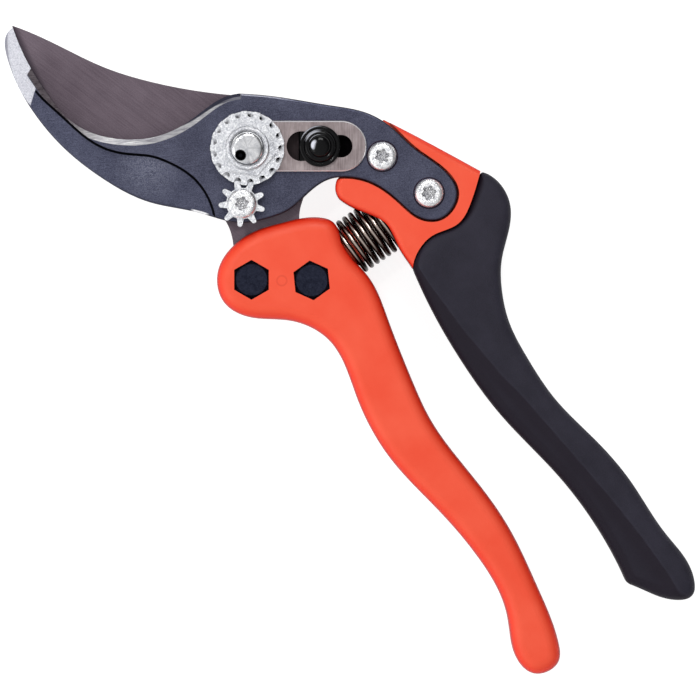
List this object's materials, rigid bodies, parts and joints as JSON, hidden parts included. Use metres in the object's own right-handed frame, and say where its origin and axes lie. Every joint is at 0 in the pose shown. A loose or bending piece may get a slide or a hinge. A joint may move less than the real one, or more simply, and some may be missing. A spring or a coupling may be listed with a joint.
{
  "type": "bypass pruner",
  "caption": "Bypass garden pruner, closed, with an orange lower handle, a black-gripped upper handle, a toothed pivot nut with its locking star, a thumb latch and a coil spring.",
  "frame": {"origin": "centre of the pivot bolt's hexagon head, on its outer (back) face", "axes": "+X from the pivot to the end of the fixed (black) handle, jaws towards -X; +Z along the pivot bolt from its head up to the adjusting nut; the tool lies on its back"},
  "size_m": [0.2123, 0.0783, 0.0228],
  "materials": {
    "dark_steel": "satin",
    "ground_steel": "satin",
    "orange_plastic": "satin",
    "black_rubber": "matte",
    "polished_steel": "gloss",
    "zinc_steel": "satin",
    "brushed_steel": "satin",
    "black_plastic": "gloss",
    "black_steel": "satin",
    "spring_steel": "satin"
  },
  "bodies": {
    "fixed_side": {"counter_blade": "dark_steel", "fixed_handle_core": "orange_plastic", "soft_grip": "black_rubber", "pivot_bolt": "polished_steel", "head_washer": "polished_steel", "pivot_bushing": "polished_steel", "latch_plate": "brushed_steel", "latch_leaf": "brushed_steel", "star_screw": "zinc_steel", "arm_screw_front": "zinc_steel", "arm_screw_rear": "zinc_steel", "arm_nut_front": "black_steel", "arm_nut_rear": "black_steel", "handle_spring": "spring_steel"},
    "blade_side": {"cutting_blade": "ground_steel", "finger_handle": "orange_plastic", "tang_screw_front": "black_steel", "tang_screw_rear": "black_steel", "tang_nut_front": "black_steel", "tang_nut_rear": "black_steel"},
    "latch": {"latch_knob": "black_plastic", "latch_pin": "polished_steel", "latch_slider": "black_plastic"},
    "nut": {"adjusting_nut": "zinc_steel"},
    "star": {"lock_star": "zinc_steel"}
  },
  "joints": [
    {"name": "main_pivot", "type": "hinge", "parent": "fixed_side", "child": "blade_side", "pos_m": [0, 0, 0], "axis": [0, 0, -1], "range_deg": [0, 28], "stiffness_Nm_per_rad": 1.4, "springref_deg": 40.11, "deforming": ["handle_spring"]},
    {"name": "latch_slide", "type": "slide", "parent": "fixed_side", "child": "latch", "axis": [0.7071, 0.7071, 0], "range_m": [-0.0028, 0.0046]},
    {"name": "nut_turn", "type": "hinge", "parent": "fixed_side", "child": "nut", "pos_m": [0, 0, 0.0135], "axis": [0, 0, 1], "continuous": true},
    {"name": "star_turn", "type": "hinge", "parent": "fixed_side", "child": "star", "pos_m": [0.00849, -0.0103, 0.0124], "axis": [0, 0, 1], "continuous": true}
  ],
  "couplings": [
    {"joint": "star_turn", "follows": "nut_turn", "ratio": -1.8889}
  ]
}
